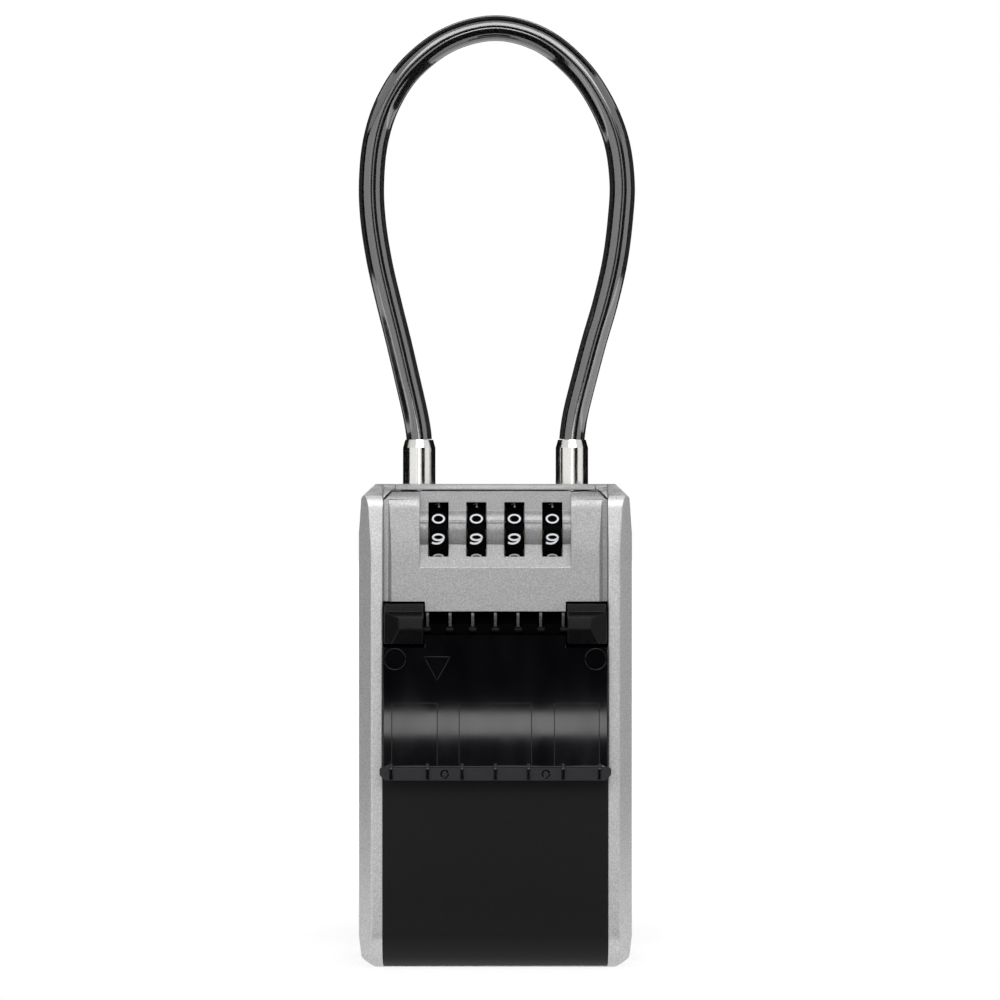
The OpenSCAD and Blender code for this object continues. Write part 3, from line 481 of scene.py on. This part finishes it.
def cable_tree():
    """Jacket tube over a strand of twisted lobes, both along the line that comes in."""
    tree, given = start_tree(
        "jacketed_wire_rope", ("Jacket Radius", "Float"), ("Strand Radius", "Float"),
        ("Lobe Depth", "Float"), ("Lobes", "Float"), ("Lay Length", "Float"), ("Steps", "Int"),
        ("Jacket Material", "Material"), ("Wire Material", "Material"),
    )
    line = add(tree, "GeometryNodeMeshToCurve", {"Mesh": given["Geometry"]}).outputs[0]
    line = add(tree, "GeometryNodeResampleCurve", {"Curve": line, "Count": given["Steps"]}).outputs[0]
    ring = add(tree, "GeometryNodeCurvePrimitiveCircle", {
        "Resolution": 32, "Radius": given["Jacket Radius"],
    }).outputs[0]
    tube = add(tree, "GeometryNodeCurveToMesh", {"Curve": line, "Profile Curve": ring}).outputs[0]
    tube = add(tree, "GeometryNodeSetMaterial", {
        "Geometry": tube, "Material": given["Jacket Material"],
    }).outputs[0]

    sides = 80
    index = add(tree, "GeometryNodeInputIndex").outputs[0]
    around = calc(tree, "MULTIPLY", index, 2 * math.pi / sides)
    wave = calc(tree, "COSINE", calc(tree, "MULTIPLY", around, given["Lobes"]))
    swell = calc(tree, "MULTIPLY_ADD", wave, given["Lobe Depth"], given["Strand Radius"])
    unit = add(tree, "GeometryNodeCurvePrimitiveCircle", {"Resolution": sides, "Radius": 1.0}).outputs[0]
    spread = add(tree, "ShaderNodeVectorMath", {
        0: add(tree, "GeometryNodeInputPosition").outputs[0], "Scale": swell,
    }, operation="SCALE").outputs[0]
    lobed = add(tree, "GeometryNodeSetPosition", {"Geometry": unit, "Position": spread}).outputs[0]
    length = add(tree, "GeometryNodeSplineParameter").outputs["Length"]
    turns = calc(tree, "DIVIDE", length, given["Lay Length"])
    angle = calc(tree, "MULTIPLY", turns, 2 * math.pi)
    twisted = add(tree, "GeometryNodeSetCurveTilt", {"Curve": line, "Tilt": angle}).outputs[0]
    strand = add(tree, "GeometryNodeCurveToMesh", {
        "Curve": twisted, "Profile Curve": lobed, "Fill Caps": True,
    }).outputs[0]
    strand = add(tree, "GeometryNodeSetMaterial", {
        "Geometry": strand, "Material": given["Wire Material"],
    }).outputs[0]
    both = add(tree, "GeometryNodeJoinGeometry", {"Geometry": tube})
    tree.links.new(strand, both.inputs[0])
    smooth = add(tree, "GeometryNodeSetShadeSmooth", {"Geometry": both.outputs[0]}).outputs[0]
    solid = add(tree, "GeometryNodeRealizeInstances", {"Geometry": smooth}).outputs[0]
    add(tree, "NodeGroupOutput", {"Geometry": solid})
    return tree


def make_cable():
    points = cable_points(6)
    cable = grow("cable_jacket_and_strand", cable_tree(), {
        "Jacket Radius": CABLE_DIAMETER / 2, "Strand Radius": STRAND_RADIUS,
        "Lobe Depth": STRAND_LOBE_DEPTH, "Lobes": STRAND_LOBES, "Lay Length": STRAND_LAY, "Steps": 320,
        "Jacket Material": jacket, "Wire Material": wire,
    }, points, chain(len(points)))
    place(cable, "shackle", "cable_jacket", "cable")


make_cable()


# Vertices this near to a piece's outermost ones belong to its sides
SIDE_BAND = 0.3 * MM
# Edges sharper than this are rounded where they are longer than so many of their roundings
SHARP_ANGLE = math.radians(28)
LEAST_LENGTH = 3.0
# Vertices nearer than this, and faces flatter than this, are merged first
MERGE_DISTANCE = 0.002 * MM
FLAT_ANGLE = math.radians(0.5)


def rounded_copy(node, edge_mm, material, body, slot, fill):
    """A node's merged mesh with its long sharp edges rounded, standing for the node.

    fill, in millimetres, brings its two sides closer to what they run along.
    """
    mesh = bpy.data.meshes.new(node + "_fine")
    work = bmesh.new()
    work.from_mesh(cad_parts[node].data)
    bmesh.ops.remove_doubles(work, verts=work.verts, dist=MERGE_DISTANCE)
    bmesh.ops.dissolve_limit(
        work, angle_limit=FLAT_ANGLE, verts=work.verts, edges=work.edges, delimit={"NORMAL"}
    )
    side = max(abs(vert.co.x) for vert in work.verts) - SIDE_BAND
    for vert in work.verts:
        if abs(vert.co.x) > side:
            vert.co.x += math.copysign(fill * MM, vert.co.x)
    weight = work.edges.layers.float.new("bevel_weight_edge")
    for edge in work.edges:
        if len(edge.link_faces) == 2 and edge.calc_length() > LEAST_LENGTH * edge_mm * MM:
            if edge.calc_face_angle(0) > SHARP_ANGLE:
                edge[weight] = 1.0
    work.to_mesh(mesh)
    work.free()
    mesh.materials.clear()
    mesh.materials.append(material)
    mesh.shade_smooth()
    mesh.set_sharp_from_angle(angle=SHARP_ANGLE)
    seed = new_object(node + "_seed", mesh)
    bevel = seed.modifiers.new("edges", "BEVEL")
    bevel.limit_method = "WEIGHT"
    bevel.width = edge_mm * MM
    bevel.segments = 2
    bevel.harden_normals = True
    bevel.use_clamp_overlap = False
    even = seed.modifiers.new("even_shading", "WEIGHTED_NORMAL")
    even.keep_sharp = True
    graph = bpy.context.evaluated_depsgraph_get()
    done = bpy.data.meshes.new_from_object(seed.evaluated_get(graph))
    bpy.data.objects.remove(seed)
    for other, test in REFINISHED.get(node, []):
        refinish(done, other, test)
    piece = new_object(node + "_fine", done)
    return place(piece, body, slot, node)


def refinish(mesh, material, test):
    """Gives a second material to the faces whose middle and normal pass the test."""
    mesh.materials.append(material)
    for face in mesh.polygons:
        if test(face.center / MM, face.normal):
            face.material_index = len(mesh.materials) - 1


# Tests for refinish, in millimetres on the part


def in_recess(middle, _):
    """The release slide's faces behind its ribs and lugs."""
    return middle.y > -23


def rib_nose(middle, normal):
    """The front faces of the ribs between the lugs."""
    between_lugs = abs(middle.x) < 22.5 and middle.z > 101
    return between_lugs and -25.6 < middle.y < -22.3 and normal.y < -0.5


def in_pocket(middle, _):
    """The walls of the pocket that the release slide moves in."""
    return middle.y > -22.5 and 94.5 < middle.z < 112.5


def on_barrel(middle, _):
    """The shutter's hinge barrel."""
    return middle.z > 102.2


def on_lip(middle, normal):
    """The front face of the shutter's lip."""
    return middle.z < 62.8 and -31.2 < middle.y < -30.95 and normal.y < -0.9


# Faces inside the recess, the pocket and the shutter's barrel take painted shade; the ribs' noses take a
# painted highlight.
REFINISHED = {
    "release_slide": [(recess_painted_shade, in_recess), (nose_highlight_nylon, rib_nose)],
    "door_casting": [(recess_painted_shade, in_pocket)],
    "shutter": [(recess_painted_shade, on_barrel), (lip_pc, on_lip)],
}
# Node, rounding in mm, material, body, slot and fill in mm
ROUNDED = [
    ("rear_housing", 0.35, frame_paint_lit, "housing", "silver_paint", 0),
    ("top_plate", 0.2, frame_paint_lit, "housing", "silver_paint", 0),
    ("door_casting", 0.1, paint, "door", "silver_paint", 0.3),
    ("door_cover", 0.3, cover_abs, "door", "cover_plastic", 0.3),
    ("release_slide", 0.25, slide_nylon, "release", "cover_plastic", 0),
    ("shutter", 0.2, shutter_pc, "shutter", "shutter_plastic", 0),
    ("rear_pad", 0.3, rubber, "housing", "rubber", 0),
    ("ferrule_left", 0.2, nickel, "shackle", "nickel", 0),
    ("ferrule_right", 0.2, nickel, "shackle", "nickel", 0),
]
for row in ROUNDED:
    rounded_copy(*row)

# Nodes that are shown as they are packed
KEPT = {
    "door_seals": rubber, "door_hinge_pin": steel, "shackle_block": zinc,
    "block_screws": steel, "shackle_bolt": steel, "shackle_release_tab": slide_nylon,
    "cover_screws": steel, "lock_case": case_nylon, "lock_case_screws": steel,
    "dial_spindle": steel, "detent_spring": spring_steel, "reset_pivot": steel,
    "reset_lever": lever_steel, "latch_slide": steel, "shutter_hinge_pin": dark_pin_steel,
}
for k in range(4):
    KEPT[f"dial_wheel_{k + 1}"] = dial_abs
    KEPT[f"dial_sleeve_{k + 1}"] = brass
for name, material in KEPT.items():
    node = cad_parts[name]
    if not node.material_slots:
        node.data.materials.append(material)
    node.material_slots[0].material = material

# Spring nodes, each with the body of its low end, the body of its high end and its axis; each is shown
# as an unmoving copy of its node in spring steel, and these three are not used
SPRINGS = [
    ("release_springs", "door", "release", "z"),
    ("latch_spring", "door", "latch", "z"),
    ("shackle_bolt_spring", "housing", "bolt", "x"),
]
for node, seat_body, moving_body, axis in SPRINGS:
    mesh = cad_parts[node].data.copy()
    mesh.materials.clear()
    mesh.materials.append(spring_steel)
    spring = new_object(node + "_flexing", mesh)
    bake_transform(spring)
    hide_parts(node)


def arc(cx, cy, rx, ry, start, end, steps=18):
    """Points of an ellipse's arc, in degrees from the right, anticlockwise."""
    turn = [math.radians(start + (end - start) * k / steps) for k in range(steps + 1)]
    return [(cx + rx * math.cos(a), cy + ry * math.sin(a)) for a in turn]


# Centre lines of generic numerals, in a box from -1 to 1, each with whether it closes on itself
NUMERALS = {
    0: [(arc(0, 0, 1, 1, 0, 340), True)],
    1: [([(-0.45, 0.5), (0.05, 1), (0.05, -1)], False)],
    2: [(arc(0, 0.4, 0.9, 0.6, 165, -25) + [(-0.9, -1), (0.95, -1)], False)],
    3: [(arc(0, 0.5, 0.85, 0.5, 150, -80), False), (arc(0, -0.5, 0.95, 0.52, 80, -150), False)],
    4: [([(0.45, -1), (0.45, 1), (-0.95, -0.45), (1, -0.45)], False)],
    5: [([(0.8, 1), (-0.7, 1), (-0.8, 0.1)] + arc(0, -0.3, 0.95, 0.7, 120, -150), False)],
    6: [(arc(0, -0.38, 0.95, 0.62, 0, 340), True), (arc(0.35, -0.3, 1.28, 1.28, 62, 170), False)],
    7: [([(-0.95, 1), (0.95, 1), (-0.25, -1)], False)],
    8: [(arc(0, 0.52, 0.8, 0.48, 0, 340), True), (arc(0, -0.48, 0.98, 0.52, 0, 340), True)],
    9: [(arc(0, 0.38, 0.95, 0.62, 0, 340), True), (arc(-0.35, 0.3, 1.28, 1.28, -10, -118), False)],
}


def ribbon(points, closed, width):
    """Flat band of even width along a line in the plane: its vertices and its faces."""
    line = [Vector(p) for p in points]
    count = len(line)
    sides = []
    for i, here in enumerate(line):
        before = line[i - 1] if closed or i else None
        after = line[(i + 1) % count] if closed or i + 1 < count else None
        into = (here - before).normalized() if before is not None else None
        out = (after - here).normalized() if after is not None else None
        into, out = into or out, out or into
        along = (into + out).normalized()
        square = Vector((-along.y, along.x))
        reach = width / 2 / max(square.dot(Vector((-into.y, into.x))), 0.5)
        if not closed and i == 0:
            here = here - into * width / 2
        if not closed and i == count - 1:
            here = here + into * width / 2
        sides += [here + square * reach, here - square * reach]
    last = count if closed else count - 1
    ends = 2 * count
    faces = [(2 * i, 2 * i + 1, (2 * i + 3) % ends, (2 * i + 2) % ends) for i in range(last)]
    return sides, faces


def make_numerals(wheel):
    """The ten numerals of a wheel, printed on its flats."""
    half_w, half_h = 1.72 * MM, 1.42 * MM
    stroke, ink_t = 0.58 * MM, 0.04 * MM
    axis = DIAL_AXES[wheel]
    bm = bmesh.new()
    for digit, strokes in NUMERALS.items():
        turn = math.radians(ZERO_ANGLE - DIGIT_STEP * digit)
        out = Vector((0, math.cos(turn), math.sin(turn)))
        up = Vector((0, math.sin(turn), -math.cos(turn)))
        middle = axis + out * (DIAL_RADIUS - DIGIT_FLAT_IN + ink_t)
        for points, closed in strokes:
            flat, faces = ribbon([(x * half_w, y * half_h) for x, y in points], closed, stroke)
            verts = [bm.verts.new(middle + Vector((p.x, 0, 0)) + up * p.y) for p in flat]
            for face in faces:
                bm.faces.new([verts[i] for i in face])
    bmesh.ops.recalc_face_normals(bm, faces=bm.faces)
    flip = [f for f in bm.faces if f.normal.dot(f.calc_center_median() - axis) < 0]
    bmesh.ops.reverse_faces(bm, faces=flip)
    mesh = bpy.data.meshes.new(f"numerals_{wheel + 1}")
    bm.to_mesh(mesh)
    bm.free()
    mesh.materials.append(ink)
    return place(new_object(f"numerals_{wheel + 1}", mesh), f"dial_{wheel + 1}", "dial_plastic")


for wheel in range(4):
    make_numerals(wheel)


# The shutter's hollow face is part of a cylinder: radius, and the y and z of its axis
FACE_RADIUS = 99.2 * MM
FACE_AXIS_Y = -127.6 * MM
FACE_AXIS_Z = 81.7 * MM
MARK_RADIUS = 0.13 * MM


def on_shutter(x_mm, z_mm):
    """Point of the shutter's hollow face."""
    z = z_mm * MM
    return (x_mm * MM, FACE_AXIS_Y + math.sqrt(FACE_RADIUS ** 2 - (z - FACE_AXIS_Z) ** 2), z)


def mark_tree():
    """A thin raised bead along each line that comes in."""
    tree, given = start_tree("moulded_bead", ("Bead Radius", "Float"), ("Plastic", "Material"))
    line = add(tree, "GeometryNodeMeshToCurve", {"Mesh": given["Geometry"]}).outputs[0]
    ring = add(tree, "GeometryNodeCurvePrimitiveCircle", {
        "Resolution": 8, "Radius": given["Bead Radius"],
    }).outputs[0]
    bead = add(tree, "GeometryNodeCurveToMesh", {
        "Curve": line, "Profile Curve": ring, "Fill Caps": True,
    }).outputs[0]
    smooth = add(tree, "GeometryNodeSetShadeSmooth", {"Geometry": bead}).outputs[0]
    end_tree(tree, smooth, given["Plastic"])
    return tree


def shutter_marks():
    """Mould lines on the shutter: two ejector rings, a triangle and three open panels."""
    points, edges = [], []

    def trace(line, closed):
        edges.extend((a + len(points), b + len(points)) for a, b in chain(len(line), closed))
        points.extend(on_shutter(x, z) for x, z in line)

    ring_x, ring_z, ring_r = 30.2, 94.9, 3.2
    for side in (-1, 1):
        trace(arc(ring_x * side, ring_z, ring_r, ring_r, 0, 350, 36), True)
    corners = [(-21.4, 95.6), (-13.6, 95.6), (-17.6, 88.4)]
    outline, parts = [], 6
    for (x0, z0), (x1, z1) in zip(corners, corners[1:] + corners[:1]):
        outline += [
            (x0 + (x1 - x0) * k / parts, z0 + (z1 - z0) * k / parts) for k in range(parts)
        ]
    trace(outline, True)
    panel_top, panel_foot, steps = 81.6, 62.8, 10
    heights = [panel_foot + (panel_top - panel_foot) * k / steps for k in range(steps + 1)]
    for left, right in ((-31.2, -17.5), (-10.9, 10.9), (17.8, 31.3)):
        trace([(left, z) for z in heights] + [(right, z) for z in reversed(heights)], False)
    marks = grow("shutter_mould_lines", mark_tree(), {
        "Bead Radius": MARK_RADIUS, "Plastic": shutter_pc,
    }, points, edges)
    place(marks, "shutter", "shutter_plastic")


shutter_marks()


WHITE = (1, 1, 1, 1)
FLOOR_REACH = 6.0
FLOOR_GREY = (0.6, 0.6, 0.6, 1)
WORLD_LIGHT = 0.4
# The floor's glow from the part outwards: two strengths and the distances that they stand at
FLOOR_GLOW = (0.62, 1.0, 0.08, 0.4)
# The floor is open over this rectangle, and closes over so much beyond it
OPEN_MIDDLE = (0, -0.24, 0)
OPEN_HALF = (0.26, 0.215, 0)
OPEN_EDGE = 0.03
CARD_BLACK = (0.01, 0.01, 0.01, 1)
CARD_FOOT = 0.003
CARD_TOP = 0.8
BACK_CARD_TOP = 1.2
LAMPS_AIM = Vector((0, 0, 0.14))


def seen_or_reflected(tree, path):
    return calc(tree, "MAXIMUM", path["Is Camera Ray"], path["Is Glossy Ray"])


def make_world():
    """White to the eye, to reflections and through clear pieces, and a soft light otherwise."""
    scene.world = bpy.data.worlds.new("studio")
    scene.world.use_nodes = True
    tree = scene.world.node_tree
    tree.nodes.clear()
    path = add(tree, "ShaderNodeLightPath").outputs
    seen = calc(tree, "MAXIMUM", seen_or_reflected(tree, path), path["Is Transmission Ray"])
    soft, white = (
        add(tree, "ShaderNodeBackground", {"Color": WHITE, "Strength": strength}).outputs[0]
        for strength in (WORLD_LIGHT, 1.0)
    )
    mix = add(tree, "ShaderNodeMixShader", {0: seen, 1: soft, 2: white}).outputs[0]
    add(tree, "ShaderNodeOutputWorld", {"Surface": mix})


def make_floor():
    """Floor that glows to the eye, least near the part, so that the part's soft shadow stays.

    It is open where the door swings down past the base, as when the safe hangs from its cable.
    """
    material, tree = start_material("pale_floor")
    path = add(tree, "ShaderNodeLightPath").outputs
    where = add(tree, "ShaderNodeTexCoord").outputs["Object"]
    strength = calc(
        tree, "MULTIPLY", seen_or_reflected(tree, path),
        levels(tree, distance(tree, where), *FLOOR_GLOW),
    )
    glow = add(tree, "ShaderNodeEmission", {"Color": WHITE, "Strength": strength}).outputs[0]
    matt = add(tree, "ShaderNodeBsdfDiffuse", {"Color": FLOOR_GREY}).outputs[0]
    pale = add(tree, "ShaderNodeAddShader", {0: glow, 1: matt}).outputs[0]
    offset = vector_calc(tree, "ABSOLUTE", vector_calc(tree, "SUBTRACT", where, OPEN_MIDDLE))
    beyond = vector_calc(tree, "MAXIMUM", vector_calc(tree, "SUBTRACT", offset, OPEN_HALF), (0, 0, 0))
    closed = levels(tree, distance(tree, beyond), 0, 1, 0, OPEN_EDGE)
    clear = add(tree, "ShaderNodeBsdfTransparent", {"Color": WHITE}).outputs[0]
    surface = add(tree, "ShaderNodeMixShader", {0: closed, 1: clear, 2: pale}).outputs[0]
    add(tree, "ShaderNodeOutputMaterial", {"Surface": surface})
    flat_sheet("floor", lying(
        (-FLOOR_REACH, -FLOOR_REACH), (FLOOR_REACH, -FLOOR_REACH),
        (FLOOR_REACH, FLOOR_REACH), (-FLOOR_REACH, FLOOR_REACH), height=0,
    ), material)


def upright(x0, y0, x1, y1, low=CARD_FOOT, high=CARD_TOP):
    return [(x0, y0, low), (x1, y1, low), (x1, y1, high), (x0, y0, high)]


def lying(*corners, height=CARD_FOOT):
    return [(x, y, height) for x, y in corners]


# Dark cards that only reflections see, as a photographer sets them for black plastic
CARDS = {
    "front_card": upright(-0.13, -1.32, 0.13, -1.32, -0.2, 0.62),
    "front_right_card": upright(0.4, -1.32, 0.92, -1.32, -0.2, 0.62),
    "right_card": upright(0.92, -1.32, 1.5, -0.6),
    "right_side_card": upright(1.5, -0.6, 1.6, 0),
    "left_card": upright(-0.5, -1.45, -1.4, -0.75),
    "left_side_card": upright(-1.4, -0.75, -1.6, 0.25),
    "back_card": upright(-1.6, 0.9, 1.6, 0.9, high=BACK_CARD_TOP),
    "left_back_card": upright(-1.6, 0.9, -1.6, 0.25, high=BACK_CARD_TOP),
    "right_back_card": upright(1.6, 0.9, 1.6, 0, high=BACK_CARD_TOP),
    "low_card": lying((-0.4, -1.3), (0.9, -1.3), (0.3, -0.18), (-0.3, -0.18)),
    "near_card": lying((-0.06, -0.13), (0.06, -0.13), (0.06, -0.04), (-0.06, -0.04)),
    "left_floor_card": lying(
        (-1.15, -0.6), (-0.25, -0.3), (-0.25, 0.6), (-1.15, 0.6), height=0.002
    ),
    "right_floor_card": lying((0.8, -0.6), (0.25, -0.3), (0.25, 0.6), (0.8, 0.6), height=0.002),
    "top_card": lying((-0.8, -0.35), (0.8, -0.35), (0.8, 0.5), (-0.8, 0.5), height=0.95),
}
# Azimuth to the right of the camera's side and elevation in degrees, distance, size and radiance
LAMPS = {
    "strip_behind_camera": (0, -0.1, 1.25, (0.24, 0.15), 4.5),
    "key_softbox": (5, 36, 1.35, (1.2, 0.55), 3.1),
    "left_softbox": (-44, 8, 1.2, (1.2, 0.7), 1.2),
    "right_softbox": (62, 8, 1.2, (0.9, 0.7), 1.15),
    "rear_softbox": (180, 50, 1.3, (0.9, 0.5), 1.6),
}


def make_cards():
    dark, tree = start_material("black_card")
    matt = add(tree, "ShaderNodeBsdfDiffuse", {"Color": CARD_BLACK}).outputs[0]
    add(tree, "ShaderNodeOutputMaterial", {"Surface": matt})
    for name, corners in CARDS.items():
        card = flat_sheet(name, corners, dark)
        card.visible_camera = False
        card.visible_diffuse = False
        card.visible_shadow = False


def make_lamp(name, azimuth, elevation, away, size, radiance):
    """Softbox that faces the part."""
    turn, lift = math.radians(azimuth), math.radians(elevation)
    light = bpy.data.objects.new(name, bpy.data.lights.new(name, "AREA"))
    light.data.shape = "RECTANGLE"
    light.data.size, light.data.size_y = size
    light.data.energy = radiance * math.pi * size[0] * size[1]
    light.location = LAMPS_AIM + away * Vector((
        math.sin(turn) * math.cos(lift), -math.cos(turn) * math.cos(lift), math.sin(lift)
    ))
    light.rotation_euler = (LAMPS_AIM - light.location).to_track_quat("-Z", "Y").to_euler()
    scene.collection.objects.link(light)


make_world()
make_floor()
make_cards()
for name, settings in LAMPS.items():
    make_lamp(name, *settings)
scene.view_settings.view_transform = "Standard"
